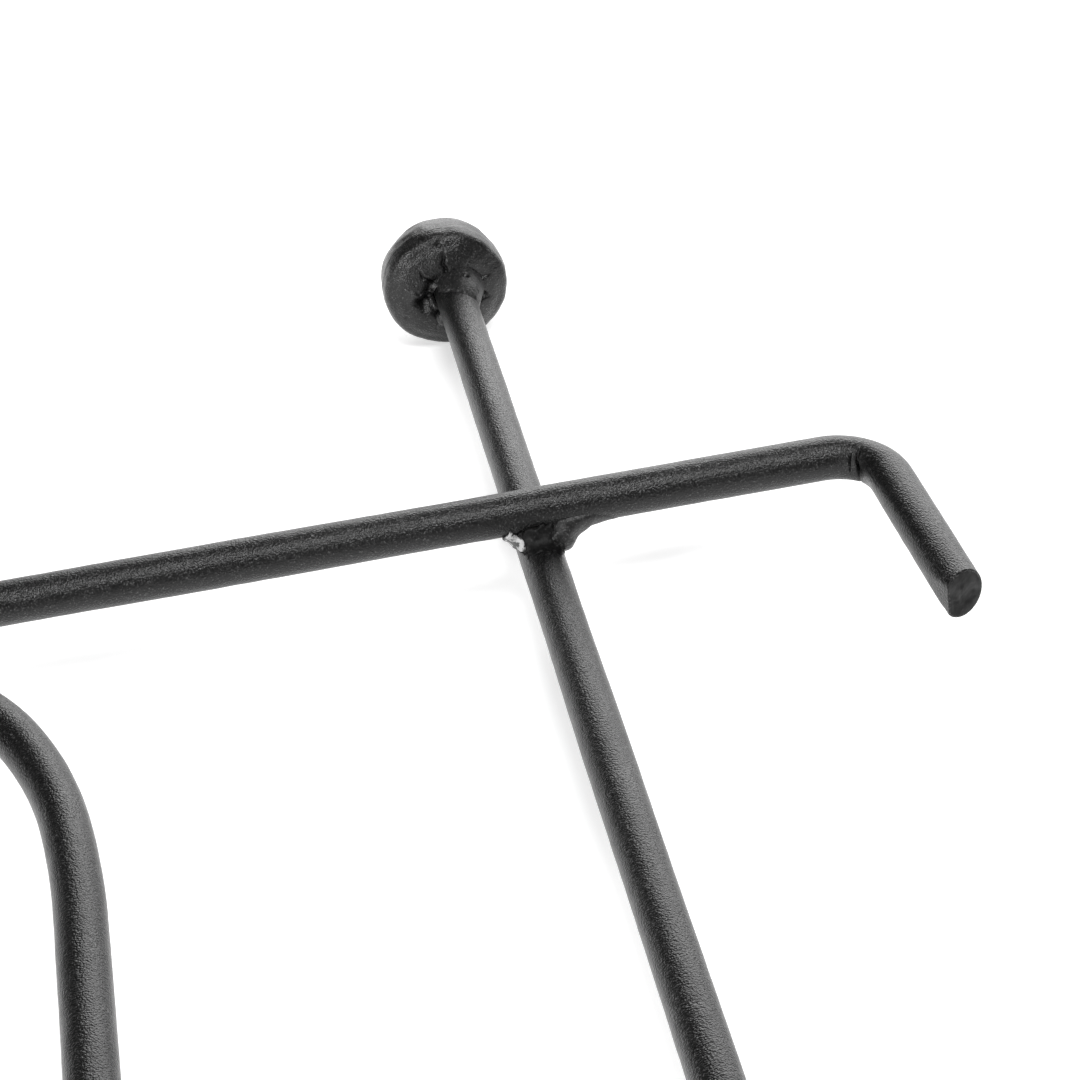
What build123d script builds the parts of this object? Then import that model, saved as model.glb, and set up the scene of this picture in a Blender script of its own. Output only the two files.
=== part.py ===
"""Mug tree of welded steel rod, standing on four ball feet.

Frame: millimetres, +Z up, origin on the counter under the middle of the base.
X runs along the cross bars, Y along the rails. The back of the base is +Y.
"""

from build123d import *
from math import cos, radians, sin, sqrt, tan
import os

os.makedirs("parts", exist_ok=True)

# ---------------------------------------------------------------- driving dimensions
ROD_DIAMETER = 5.0
FIT_GAP = 0.03  # paint-thin gap between a weld or a ball and the rod it holds

BALL_RADIUS = 8.225
BALL_FAR_HEIGHT = 9.25  # from the ball's widest ring to its outer pole
BALL_FACE_HEIGHT = 4.2  # from the ball's widest ring to the face that meets the rail
BALL_WALL = 1.3
CHEEK_ANGLE = 40.0  # where the rounded edge of the ball's face stands out most
BALL_SIDE_SHIFT = 0.8  # the pressed balls sit a little off the rail's centre line

RAIL_SPACING = 175.6
BAR_SPACING = 168.0
BAR_SKEW = 1.3  # degrees by which the cross bars sit out of square with the rails
BALL_OVERHANG = 64.0  # from a cross bar's centre line to the ball's widest ring
RAIL_END_IN_BALL = 3.0  # how far the rail runs past the ball's widest ring

BAR_OVERHANG = 38.9  # from a rail's centre line to the corner of a bent end
END_LENGTH = 30.0  # from a bar's centre line to the cut face of its bent end
END_BEND_RADIUS = 6.4
END_SPLAY = 1.9  # degrees by which the base bars' bent ends open outwards
END_DIP = 2.4  # degrees by which they droop

LOOP_WIDTH = 70.2
LOOP_EASE_RADIUS = 120.0  # first, slow part of each shoulder of the loop
LOOP_EASE_ANGLE = 6.5
LOOP_SHOULDER_RADIUS = 55.0
LOOP_SHOULDER_ANGLE = 22.0  # heading where the shoulder meets the round crown
LOOP_CROWN_GAP = 0.02

POST_ROD_LENGTH = 82.0
FLARE_START_HEIGHT = 290.0
FLARE_RADIUS = 12.0
HANDLE_RADIUS = 25.0

LOWER_HOOK_HEIGHT = 150.0
UPPER_HOOK_HEIGHT = 265.0
LOWER_HOOK_REACH = 66.0  # from the post's centre line to an upturned end's centre line
UPPER_HOOK_REACH = 56.0

WELD_RADIUS = 1.9
WELD_OFFSET = 2.1  # from two rods' point of contact to a bead's middle, each way
BEAD_TUCK = 0.3  # beads between the post's legs sit this far in from the legs' faces
CROWN_WELD_LENGTH = 8.0
COLLAR_LENGTH = 1.8
COLLAR_RADIUS = 4.4

# ---------------------------------------------------------------- worked-out dimensions
ROD_RADIUS = ROD_DIAMETER / 2
CUTTER_RADIUS = ROD_RADIUS + FIT_GAP
CUTTER_LENGTH = 4 * ROD_DIAMETER
MOUTH_RADIUS = CUTTER_RADIUS + BALL_SIDE_SHIFT
CHEEK = radians(CHEEK_ANGLE)
DOME_HALF = radians(45)  # halfway point of the ball's round back
SKEW_RISE = tan(radians(BAR_SKEW))

RAIL_HEIGHT = BALL_RADIUS
BAR_HEIGHT = RAIL_HEIGHT + ROD_DIAMETER
RAIL_CONTACT_HEIGHT = RAIL_HEIGHT + ROD_RADIUS

RAIL_X = RAIL_SPACING / 2
BAR_Y = BAR_SPACING / 2
BALL_Y = BAR_Y + RAIL_X * SKEW_RISE + BALL_OVERHANG
RAIL_LENGTH = 2 * (BALL_Y + RAIL_END_IN_BALL)
BAR_HALF_LENGTH = RAIL_X / cos(radians(BAR_SKEW)) + BAR_OVERHANG

LOOP_SIDE_X = LOOP_WIDTH / 2
LOOP_CROWN_Y = BAR_Y - ROD_DIAMETER - LOOP_CROWN_GAP
EASE = radians(LOOP_EASE_ANGLE)
SHOULDER = radians(LOOP_SHOULDER_ANGLE)
EASE_END_X = LOOP_SIDE_X - LOOP_EASE_RADIUS * (1 - cos(EASE))
SHOULDER_END_X = EASE_END_X - LOOP_SHOULDER_RADIUS * (cos(EASE) - cos(SHOULDER))
CROWN_RADIUS = SHOULDER_END_X / cos(SHOULDER)
SHOULDER_END_Y = LOOP_CROWN_Y - CROWN_RADIUS * (1 - sin(SHOULDER))
EASE_END_Y = SHOULDER_END_Y - LOOP_SHOULDER_RADIUS * (sin(SHOULDER) - sin(EASE))
SIDE_END_Y = EASE_END_Y - LOOP_EASE_RADIUS * sin(EASE)

POST_LEG_X = ROD_DIAMETER
POST_ROD_Y = ROD_DIAMETER
POST_FOOT_HEIGHT = RAIL_HEIGHT - ROD_RADIUS

SIDES = {"left": -1, "right": 1}
ENDS = {"front": -1, "back": 1}
ALONG_X = (1, 0, 0)
ALONG_Y = (0, 1, 0)
UP = Vector(0, 0, 1)


# ---------------------------------------------------------------- rods
def straight_rod(centre, direction, length, radius=ROD_RADIUS):
    """A straight length of rod, centred on a point."""
    with BuildPart() as rod:
        with BuildSketch(Plane(origin=centre, z_dir=direction)):
            Circle(radius)
        extrude(amount=length / 2, both=True)
    return rod.part


def bent_bar(middle, run, turn, half_length, splay=0):
    """A bar along `run` whose two ends both turn towards `turn` and are cut off square."""
    lean = END_LENGTH * tan(radians(splay))
    points = [
        middle - run * (half_length + lean) + turn * END_LENGTH,
        middle - run * half_length,
        middle + run * half_length,
        middle + run * (half_length + lean) + turn * END_LENGTH,
    ]
    with BuildPart() as bar:
        with BuildLine() as path:
            FilletPolyline(*points, radius=END_BEND_RADIUS)
        with BuildSketch(Plane(origin=points[0], z_dir=points[1] - points[0])):
            Circle(ROD_RADIUS)
        sweep(path=path.wire())
    return bar.part


def rail(side):
    """A long base rod with a ball at each end."""
    return straight_rod((side * RAIL_X, 0, RAIL_HEIGHT), ALONG_Y, RAIL_LENGTH)


def cross_bar(end):
    """A base bar lying on both rails, its ends turned in along the rails."""
    skew = radians(BAR_SKEW)
    dip = radians(END_DIP)
    run = Vector(cos(skew), sin(skew), 0)
    inward = Vector(sin(skew), -cos(skew), 0) * end
    turn = inward * cos(dip) - UP * sin(dip)
    middle = Vector(0, end * BAR_Y, BAR_HEIGHT)
    return bent_bar(middle, run, turn, BAR_HALF_LENGTH, END_SPLAY)


def post_cross_rod(end):
    """One of the two short rods that clasp the foot of the post under the loop."""
    return straight_rod((0, end * POST_ROD_Y, RAIL_HEIGHT), ALONG_X, POST_ROD_LENGTH)


def base_loop():
    """The closed loop between the cross bars: straight sides and a round crown each end."""
    side_end = Vector(LOOP_SIDE_X, SIDE_END_Y, BAR_HEIGHT)
    ease_end = Vector(EASE_END_X, EASE_END_Y, BAR_HEIGHT)
    shoulder_end = Vector(SHOULDER_END_X, SHOULDER_END_Y, BAR_HEIGHT)
    crown = Vector(0, LOOP_CROWN_Y, BAR_HEIGHT)

    with BuildPart() as loop:
        with BuildLine() as path:
            side = Line((LOOP_SIDE_X, 0, BAR_HEIGHT), side_end)
            ease_arc = TangentArc(side_end, ease_end, tangent=side % 1)
            shoulder_arc = TangentArc(ease_end, shoulder_end, tangent=ease_arc % 1)
            TangentArc(shoulder_end, crown, tangent=shoulder_arc % 1)
            mirror(about=Plane.YZ)
            mirror(about=Plane.XZ)
        with BuildSketch(Plane.XZ):
            with Locations((LOOP_SIDE_X, BAR_HEIGHT)):
                Circle(ROD_RADIUS)
        sweep(path=path.wire())
    return loop.part


def post():
    """One rod bent double, two straight legs with a round carrying handle at the top."""
    centre_run = POST_LEG_X + FLARE_RADIUS
    centre_gap = HANDLE_RADIUS + FLARE_RADIUS
    centre_rise = sqrt(centre_gap**2 - centre_run**2)
    handle_height = FLARE_START_HEIGHT + centre_rise
    handle_share = HANDLE_RADIUS / centre_gap
    foot = Vector(POST_LEG_X, 0, POST_FOOT_HEIGHT)
    flare_start = Vector(POST_LEG_X, 0, FLARE_START_HEIGHT)
    flare_end = Vector(centre_run * handle_share, 0, handle_height - centre_rise * handle_share)
    handle_side = Vector(HANDLE_RADIUS, 0, handle_height)
    handle_top = Vector(0, 0, handle_height + HANDLE_RADIUS)

    with BuildPart() as hairpin:
        with BuildLine() as path:
            leg = Line(foot, flare_start)
            TangentArc(flare_start, flare_end, tangent=leg % 1)
            ThreePointArc(flare_end, handle_side, handle_top)
            mirror(about=Plane.YZ)
        with BuildSketch(Plane.XY.offset(POST_FOOT_HEIGHT)):
            with Locations((POST_LEG_X, 0)):
                Circle(ROD_RADIUS)
        sweep(path=path.wire())
    return hairpin.part


# ---------------------------------------------------------------- ball feet
def ball_foot(side, end):
    """A pressed hollow ball, open at the mouth where the rail goes in."""
    origin = (side * RAIL_X - end * BALL_SIDE_SHIFT, end * BALL_Y, RAIL_HEIGHT)
    outward = Plane(origin=origin, x_dir=(1, 0, 0), z_dir=(0, 0, end))
    inner_radius = BALL_RADIUS - BALL_WALL
    inner_far = BALL_FAR_HEIGHT - BALL_WALL
    outer_side = (BALL_RADIUS, 0)
    inner_side = (inner_radius, 0)
    outer_pole = (0, BALL_FAR_HEIGHT)
    inner_pole = (0, inner_far)
    outer_shoulder = (BALL_RADIUS * cos(DOME_HALF), BALL_FAR_HEIGHT * sin(DOME_HALF))
    inner_shoulder = (inner_radius * cos(DOME_HALF), inner_far * sin(DOME_HALF))
    outer_lip = -BALL_FACE_HEIGHT * sqrt(1 - (MOUTH_RADIUS / BALL_RADIUS) ** 2)
    inner_face = BALL_FACE_HEIGHT - BALL_WALL
    inner_lip = -inner_face * sqrt(1 - (MOUTH_RADIUS / inner_radius) ** 2)
    outer_cheek = (BALL_RADIUS * cos(CHEEK), -BALL_FACE_HEIGHT * sin(CHEEK))
    inner_cheek = (inner_radius * cos(CHEEK), -inner_face * sin(CHEEK))
    with BuildPart() as ball:
        with BuildSketch(outward):
            with BuildLine():
                ThreePointArc((MOUTH_RADIUS, outer_lip), outer_cheek, outer_side)
                Spline(outer_side, outer_shoulder, outer_pole, tangents=((0, 1), (-1, 0)))
                Line(outer_pole, inner_pole)
                Spline(inner_pole, inner_shoulder, inner_side, tangents=((1, 0), (0, -1)))
                ThreePointArc(inner_side, inner_cheek, (MOUTH_RADIUS, inner_lip))
                Line((MOUTH_RADIUS, inner_lip), (MOUTH_RADIUS, outer_lip))
            make_face()
        revolve(axis=Axis(origin, (0, end, 0)))
    return ball.part


# ---------------------------------------------------------------- welds
def bead(place, rods):
    """A round bead at `place`, cut clear of the rods it holds, each a point and a direction."""
    cutters = [straight_rod(point, way, CUTTER_LENGTH, CUTTER_RADIUS) for point, way in rods]
    with BuildPart() as one_bead:
        with Locations(place):
            Sphere(WELD_RADIUS)
        add(cutters, mode=Mode.SUBTRACT)
    return one_bead.part


def crown_bead(end):
    """The long bead in the valley where a crown of the loop lies along a cross bar."""
    crown_centre = (0, end * (LOOP_CROWN_Y - CROWN_RADIUS), BAR_HEIGHT)
    skew_run = (1, SKEW_RISE, 0)
    bar_cutter = straight_rod((0, end * BAR_Y, BAR_HEIGHT), skew_run, CUTTER_LENGTH, CUTTER_RADIUS)
    with BuildPart() as long_bead:
        with BuildSketch(Plane.YZ):
            with Locations((end * (BAR_Y - ROD_RADIUS), BAR_HEIGHT + WELD_OFFSET)):
                Circle(WELD_RADIUS)
        extrude(amount=CROWN_WELD_LENGTH / 2, both=True)
        add(bar_cutter, mode=Mode.SUBTRACT)
        with Locations(crown_centre):
            Torus(CROWN_RADIUS, CUTTER_RADIUS, mode=Mode.SUBTRACT)
    return long_bead.part


def ball_collar(side, end):
    """The ring of weld round a rail against the face of its ball."""
    back_y = BALL_Y - BALL_FACE_HEIGHT - FIT_GAP
    origin = (side * RAIL_X, end * back_y, RAIL_HEIGHT)
    outward = Plane(origin=origin, x_dir=(1, 0, 0), z_dir=(0, 0, end))
    with BuildPart() as collar:
        with BuildSketch(outward):
            with BuildLine():
                Line((CUTTER_RADIUS, -COLLAR_LENGTH), (CUTTER_RADIUS, 0))
                Line((CUTTER_RADIUS, 0), (COLLAR_RADIUS, 0))
                RadiusArc((COLLAR_RADIUS, 0), (CUTTER_RADIUS, -COLLAR_LENGTH), COLLAR_LENGTH)
            make_face()
        revolve(axis=Axis(origin, (0, end, 0)))
    return collar.part


def group(members):
    """Several separate solids kept as one piece."""
    with BuildPart() as together:
        add(members)
    return together.part


def rail_crossing_welds():
    """Two beads on the inner side of each cross bar, wherever it lies on a rail."""
    beads = []
    for side in SIDES.values():
        for end in ENDS.values():
            x = side * RAIL_X
            bar_y = end * BAR_Y + x * SKEW_RISE
            rods = [((x, bar_y, RAIL_HEIGHT), ALONG_Y), ((x, bar_y, BAR_HEIGHT), (1, SKEW_RISE, 0))]
            for offset in (-WELD_OFFSET, WELD_OFFSET):
                place = (x + offset, bar_y - end * WELD_OFFSET, RAIL_CONTACT_HEIGHT)
                beads.append(bead(place, rods))
    return group(beads)


def loop_side_welds():
    """A bead at each place where a side of the loop lies on a post rod."""
    beads = []
    for side in SIDES.values():
        for end in ENDS.values():
            x = side * LOOP_SIDE_X
            y = end * POST_ROD_Y
            rods = [((x, y, BAR_HEIGHT), ALONG_Y), ((x, y, RAIL_HEIGHT), ALONG_X)]
            place = (x + side * WELD_OFFSET, y + end * WELD_OFFSET, RAIL_CONTACT_HEIGHT)
            beads.append(bead(place, rods))
    return group(beads)


def post_foot_welds():
    """Beads that hold the feet of the post between its two rods."""
    beads = []
    for side in SIDES.values():
        for end in ENDS.values():
            x = side * POST_LEG_X
            rods = [((x, end * POST_ROD_Y, RAIL_HEIGHT), ALONG_X), ((x, 0, RAIL_HEIGHT), UP)]
            place = (x + side * WELD_OFFSET, end * ROD_RADIUS, RAIL_HEIGHT + WELD_OFFSET)
            beads.append(bead(place, rods))
    return group(beads)


def hook_welds(height):
    """Beads that hold a tier's two hook bars to the legs of the post."""
    beads = []
    cross_height = height + ROD_DIAMETER
    for side in SIDES.values():
        x = side * POST_LEG_X
        leg = ((x, 0, height), UP)
        side_bar = ((x, -ROD_DIAMETER, height), ALONG_X)
        front_bar = ((0, 0, cross_height), ALONG_Y)
        outer = (x + side * WELD_OFFSET, -ROD_RADIUS, height - WELD_OFFSET)
        beads.append(bead(outer, [leg, side_bar]))
        for end in ENDS.values():
            inner_x = side * (ROD_RADIUS - BEAD_TUCK)
            inner = (inner_x, end * WELD_OFFSET, cross_height + WELD_OFFSET)
            beads.append(bead(inner, [leg, front_bar]))
    return group(beads)


def side_hook_bar(height, reach):
    """The hook bar that lies across the front of both legs of the post."""
    return bent_bar(Vector(0, -ROD_DIAMETER, height), Vector(ALONG_X), UP, reach)


def front_hook_bar(height, reach):
    """The hook bar that passes between the legs, resting on the side hook bar."""
    return bent_bar(Vector(0, 0, height + ROD_DIAMETER), Vector(ALONG_Y), UP, reach)


# ---------------------------------------------------------------- the whole tree
pieces = {}

for side_name, side in SIDES.items():
    pieces[f"{side_name}_rail"] = rail(side)
    for end_name, end in ENDS.items():
        pieces[f"{end_name}_{side_name}_ball_foot"] = ball_foot(side, end)

for end_name, end in ENDS.items():
    pieces[f"{end_name}_cross_bar"] = cross_bar(end)
    pieces[f"{end_name}_post_rod"] = post_cross_rod(end)

pieces["base_loop"] = base_loop()
pieces["post_with_handle"] = post()

tiers = {
    "lower": (LOWER_HOOK_HEIGHT, LOWER_HOOK_REACH),
    "upper": (UPPER_HOOK_HEIGHT, UPPER_HOOK_REACH),
}
for tier_name, (height, reach) in tiers.items():
    pieces[f"{tier_name}_side_hook_bar"] = side_hook_bar(height, reach)
    pieces[f"{tier_name}_front_hook_bar"] = front_hook_bar(height, reach)
    pieces[f"{tier_name}_hook_welds"] = hook_welds(height)

pieces["rail_crossing_welds"] = rail_crossing_welds()
pieces["loop_crown_welds"] = group([crown_bead(end) for end in ENDS.values()])
pieces["loop_side_welds"] = loop_side_welds()
pieces["post_foot_welds"] = post_foot_welds()
pieces["ball_collar_welds"] = group(
    [ball_collar(side, end) for side in SIDES.values() for end in ENDS.values()]
)

for name, part in pieces.items():
    part.label = name
    export_step(part, f"parts/{name}.step")
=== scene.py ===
"""Looks of the mug tree: black-coated rods, pressed ball feet and hand-made welds.

Lengths are millimetres in the part's frame until place_mesh() turns them into metres.
"""
from math import ceil, cos, pi, radians, sin, sqrt, tan

import bpy
import numpy as np
from mathutils import Matrix, Vector


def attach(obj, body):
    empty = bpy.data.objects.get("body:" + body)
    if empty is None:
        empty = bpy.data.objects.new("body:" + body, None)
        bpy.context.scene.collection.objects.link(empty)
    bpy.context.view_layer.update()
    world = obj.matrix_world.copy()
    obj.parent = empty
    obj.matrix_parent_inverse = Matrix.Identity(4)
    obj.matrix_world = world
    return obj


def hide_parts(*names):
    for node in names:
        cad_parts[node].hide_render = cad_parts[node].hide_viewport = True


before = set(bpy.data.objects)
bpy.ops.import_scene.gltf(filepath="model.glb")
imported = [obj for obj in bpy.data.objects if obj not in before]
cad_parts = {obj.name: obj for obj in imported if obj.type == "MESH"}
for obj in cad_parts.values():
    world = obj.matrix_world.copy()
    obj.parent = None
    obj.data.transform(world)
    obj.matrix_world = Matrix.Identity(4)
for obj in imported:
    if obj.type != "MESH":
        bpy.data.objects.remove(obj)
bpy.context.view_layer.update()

# ---------------------------------------------------------------- sizes shared with the CAD part
MM = 0.001
ROD_RADIUS = 2.5
BALL_RADIUS = 8.225
BALL_FACE_HEIGHT = 4.2
BALL_SIDE_SHIFT = 0.8
RAIL_X = 87.8
RAIL_HEIGHT = BALL_RADIUS
BAR_HEIGHT = RAIL_HEIGHT + 2 * ROD_RADIUS
CONTACT_HEIGHT = RAIL_HEIGHT + ROD_RADIUS
BAR_Y = 84.0
BAR_SKEW = radians(1.3)
BALL_Y = BAR_Y + RAIL_X * tan(BAR_SKEW) + 64.0
RAIL_END_Y = BALL_Y + 3.0
BAR_HALF_LENGTH = RAIL_X / cos(BAR_SKEW) + 38.9
END_LENGTH = 30.0
END_BEND_RADIUS = 6.4
BEND_MIDDLE = END_LENGTH - END_BEND_RADIUS + END_BEND_RADIUS * pi / 4  # from a cut end
END_SPLAY = radians(1.9)
END_DIP = radians(2.4)
LOOP_SIDE_X = 35.1
LOOP_CROWN_Y = BAR_Y - 5.02
LOOP_EASE = (120.0, radians(6.5))
LOOP_SHOULDER = (55.0, radians(22.0))
POST_ROD_HALF_LENGTH = 41.0
POST_LEG_X = 5.0
POST_FOOT_HEIGHT = RAIL_HEIGHT - ROD_RADIUS
FLARE_START_HEIGHT = 290.0
FLARE_RADIUS = 12.0
HANDLE_RADIUS = 25.0
HOOK_TIERS = {"lower": (150.0, 66.0), "upper": (265.0, 56.0)}
SIDES = {"left": -1, "right": 1}
ENDS = {"front": -1, "back": 1}
CORNERS = [(side, end) for side in SIDES.values() for end in ENDS.values()]
UP = np.array([0.0, 0.0, 1.0])
FORWARD = np.array([0.0, -1.0, 0.0])
RIGHT = np.array([1.0, 0.0, 0.0])

# ---------------------------------------------------------------- how finely and how roughly
RING_STEP = 0.8  # along a straight or bent rod
RING_POINTS = 44
ROD_WANDER = 0.035  # slow swelling and thinning of the drawn rod
ROD_RIPPLE = 0.010  # finer unevenness of its coat
BEVEL = 0.22  # rounded edge of a cut end
FACE_RINGS = 12
LEAN_REACH = 5.0  # how far back from its cut face a rod's end is slanted
PLAIN_LEAN = (0.0, 0.35, 0.0)  # shorter all over, on the outer side, on top
TORN = 0.05  # unevenness of a cut face
FINELY_TORN = 0.03
WAVE_COUNT = 14
NET_STEP = 0.17  # grid of an ordinary bead
FINE_NET_STEP = 0.11  # grid of a bead that the photo shows
BEAD_SKIN = 0.07  # how far a bead's thin edge stands off the rods
FOLD_REACH = 1.2  # how far from the middle of a bend its path has closer points
FOLD_STEP = 0.08
BEND_POINTS = 40
ARC_POINTS = 60


# ---------------------------------------------------------------- small helpers
def unit(vector):
    return vector / np.linalg.norm(vector)


def ripple(points, size, seed):
    """Smooth irregular waves about `size` mm long, mostly between -1 and 1."""
    numbers = np.random.default_rng(seed)
    ways = numbers.normal(size=(WAVE_COUNT, 3))
    ways /= np.linalg.norm(ways, axis=1, keepdims=True)
    ways *= 2 * pi / size * numbers.uniform(0.6, 1.5, (WAVE_COUNT, 1))
    phases = numbers.uniform(0, 2 * pi, WAVE_COUNT)
    return np.sin(points @ ways.T + phases).sum(axis=-1) / sqrt(WAVE_COUNT)


def fade(value, start, end):
    """0 before start, 1 after end, smooth between."""
    part = np.clip((value - start) / (end - start), 0, 1)
    return part * part * (3 - 2 * part)


def bell(value, width):
    return np.exp(-((value / width) ** 2))


def blended(first, second, reach):
    """The smaller of two distances, with a hollow fillet of that reach where they are close."""
    share = np.maximum(reach - np.abs(first - second), 0) / reach
    return np.minimum(first, second) - share * share * reach / 4


def rounded_common(first, second, reach):
    """The larger of two distances, with the edge where they cross rounded off."""
    return -blended(-first, -second, reach)


def place_mesh(name, points, faces, materials, marks=None):
    """A smooth-shaded mesh object, from millimetres to metres, riding on the root body."""
    mesh = bpy.data.meshes.new(name)
    mesh.from_pydata((np.asarray(points) * MM).tolist(), [], faces)
    for material in materials:
        mesh.materials.append(material)
    mesh.polygons.foreach_set("use_smooth", np.ones(len(mesh.polygons), bool))
    if marks is not None:
        mesh.polygons.foreach_set("material_index", np.asarray(marks, np.int32))
    mesh.update()
    thing = bpy.data.objects.new(name, mesh)
    bpy.context.scene.collection.objects.link(thing)
    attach(thing, "root")
    return thing


# ---------------------------------------------------------------- paths of the rods
def spaced(points, step, closed=False, folded=False):
    """The same path with its points `step` apart, and closer where its bends are folded."""
    if closed:
        points = np.vstack([points, points[:1]])
    along = np.concatenate([[0], np.cumsum(np.linalg.norm(np.diff(points, axis=0), axis=1))])
    count = ceil(along[-1] / step) + 1
    places = np.linspace(0, along[-1], count)
    if closed:
        places = places[:-1]
    if folded:
        near = BEND_MIDDLE + np.arange(-FOLD_REACH, FOLD_REACH, FOLD_STEP)
        clear = np.abs(places - BEND_MIDDLE) > FOLD_REACH
        clear &= np.abs(along[-1] - places - BEND_MIDDLE) > FOLD_REACH
        places = np.sort(np.concatenate([places[clear], near, along[-1] - near]))
    return np.column_stack([np.interp(places, along, points[:, axis]) for axis in range(3)])


def rounded_corners(corners, radius):
    """A path of straight lengths joined by bends of one radius."""
    points = [corners[0]]
    for before, corner, after in zip(corners, corners[1:], corners[2:]):
        back = unit(before - corner)
        on = unit(after - corner)
        half = np.arccos(np.clip(back @ on, -1, 1)) / 2
        centre = corner + unit(back + on) * radius / sin(half)
        start = corner + back * radius / tan(half)
        spoke = start - centre
        for turn in np.linspace(0, pi - 2 * half, BEND_POINTS):
            points.append(centre + spoke * cos(turn) - back * radius * sin(turn))
    points.append(corners[-1])
    return np.array(points)


def walk(start, heading, moves):
    """A flat path of (radius, turn) arcs and (length, None) straights; a turn to the left is +."""
    place = np.array(start, float)
    points = [place]
    for size, turn in moves:
        ahead = np.array([cos(heading), sin(heading)])
        if turn is None:
            place = place + ahead * size
            points.append(place)
            continue
        left = np.array([-ahead[1], ahead[0]]) * np.sign(turn)
        centre = place + left * size
        for part in np.linspace(0, abs(turn), ARC_POINTS)[1:]:
            points.append(centre + size * (ahead * sin(part) - left * cos(part)))
        place = points[-1]
        heading += turn
    return np.array(points)


def mirrored_pair(half):
    """A half path, ending on the mirror line, joined to its mirror image in X."""
    other = half[::-1][1:] * (-1, 1)
    return np.vstack([half, other])


def rail_path(side):
    x = side * RAIL_X
    return np.array([[x, -RAIL_END_Y, RAIL_HEIGHT], [x, RAIL_END_Y, RAIL_HEIGHT]])


def post_rod_path(end):
    y = end * 2 * ROD_RADIUS
    half = POST_ROD_HALF_LENGTH
    return np.array([[-half, y, RAIL_HEIGHT], [half, y, RAIL_HEIGHT]])


def bent_bar_path(middle, run, turn, half_length, splay=0.0):
    lean = END_LENGTH * tan(splay)
    corners = [
        middle - run * (half_length + lean) + turn * END_LENGTH,
        middle - run * half_length,
        middle + run * half_length,
        middle + run * (half_length + lean) + turn * END_LENGTH,
    ]
    return rounded_corners(corners, END_BEND_RADIUS)


def cross_bar_path(end):
    run = np.array([cos(BAR_SKEW), sin(BAR_SKEW), 0])
    inward = np.array([sin(BAR_SKEW), -cos(BAR_SKEW), 0]) * end
    turn = inward * cos(END_DIP) - UP * sin(END_DIP)
    middle = np.array([0, end * BAR_Y, BAR_HEIGHT])
    return bent_bar_path(middle, run, turn, BAR_HALF_LENGTH, END_SPLAY)


def hook_bar_path(middle, run, reach):
    return bent_bar_path(np.array(middle, float), np.array(run, float), UP, reach)


def loop_quarter():
    """One quarter of the base loop, from the middle of a side to the top of a crown."""
    ease_radius, ease = LOOP_EASE
    shoulder_radius, shoulder = LOOP_SHOULDER
    ease_in = ease_radius * (1 - cos(ease))
    shoulder_in = shoulder_radius * (cos(ease) - cos(shoulder))
    crown_radius = (LOOP_SIDE_X - ease_in - shoulder_in) / cos(shoulder)
    rise = ease_radius * sin(ease) + shoulder_radius * (sin(shoulder) - sin(ease))
    side_length = LOOP_CROWN_Y - crown_radius * (1 - sin(shoulder)) - rise
    moves = [
        (side_length, None),
        (ease_radius, ease),
        (shoulder_radius, shoulder - ease),
        (crown_radius, pi / 2 - shoulder),
    ]
    return walk((LOOP_SIDE_X, 0), pi / 2, moves)


def loop_path():
    quarter = loop_quarter()
    back = mirrored_pair(quarter)
    front = back[::-1][1:-1] * (1, -1)
    flat = np.vstack([back, front])
    return np.column_stack([flat, np.full(len(flat), BAR_HEIGHT)])


def post_path():
    centre_run = POST_LEG_X + FLARE_RADIUS
    lean = np.arccos(centre_run / (HANDLE_RADIUS + FLARE_RADIUS))
    moves = [
        (FLARE_START_HEIGHT - POST_FOOT_HEIGHT, None),
        (FLARE_RADIUS, -lean),
        (HANDLE_RADIUS, pi / 2 + lean),
    ]
    flat = mirrored_pair(walk((POST_LEG_X, POST_FOOT_HEIGHT), pi / 2, moves))
    return np.column_stack([flat[:, 0], np.zeros(len(flat)), flat[:, 1]])


# ---------------------------------------------------------------- rods as meshes
def rod_frames(path, normal, closed):
    """Directions along the rod and towards the inside of its bends, at each ring."""
    if closed:
        ahead = np.roll(path, -1, axis=0) - np.roll(path, 1, axis=0)
    else:
        ahead = np.gradient(path, axis=0)
    ahead /= np.linalg.norm(ahead, axis=1, keepdims=True)
    inner = np.cross(normal, ahead)
    return ahead, inner


def end_steps(path):
    """The path with extra rings close to both ends, for their bevels and cuts."""
    near = np.array([0, 0.03, 0.08, 0.15, BEVEL, 0.4, 0.6])
    first = path[0] + np.outer(near, unit(path[1] - path[0]))
    last = path[-1] + np.outer(near, unit(path[-2] - path[-1]))
    return np.vstack([first, path[1:-1], last[::-1]])


def bevel_loss(distance):
    """How much the rounded edge takes off the radius, at a distance from a cut end."""
    part = np.clip(1 - distance / BEVEL, 0, 1)
    return BEVEL * (1 - np.sqrt(1 - part * part))


def ring_faces(rings, points, closed):
    """Quads between neighbouring rings of a tube."""
    faces = []
    for ring in range(rings if closed else rings - 1):
        here = ring * points
        there = (ring + 1) % rings * points
        for point in range(points):
            after = (point + 1) % points
            faces.append((here + point, here + after, there + after, there + point))
    return faces


def lean_back(skin, path, ahead, inner, normal, from_end, lean):
    """Cuts a rod shorter at its end: all over, more on its outer side, and more on top."""
    shorter, outer_lean, top_lean = lean
    reach = np.clip(1 - from_end / LEAN_REACH, 0, 1)
    across = np.einsum("rpk,rk->rp", skin - path[:, None], inner) / ROD_RADIUS
    below = (skin - path[:, None]) @ normal / ROD_RADIUS
    back = shorter + outer_lean * (1 - across) / 2 + top_lean * (1 - below) / 2
    return skin - ahead[:, None] * (back * reach)[..., None]


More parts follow.
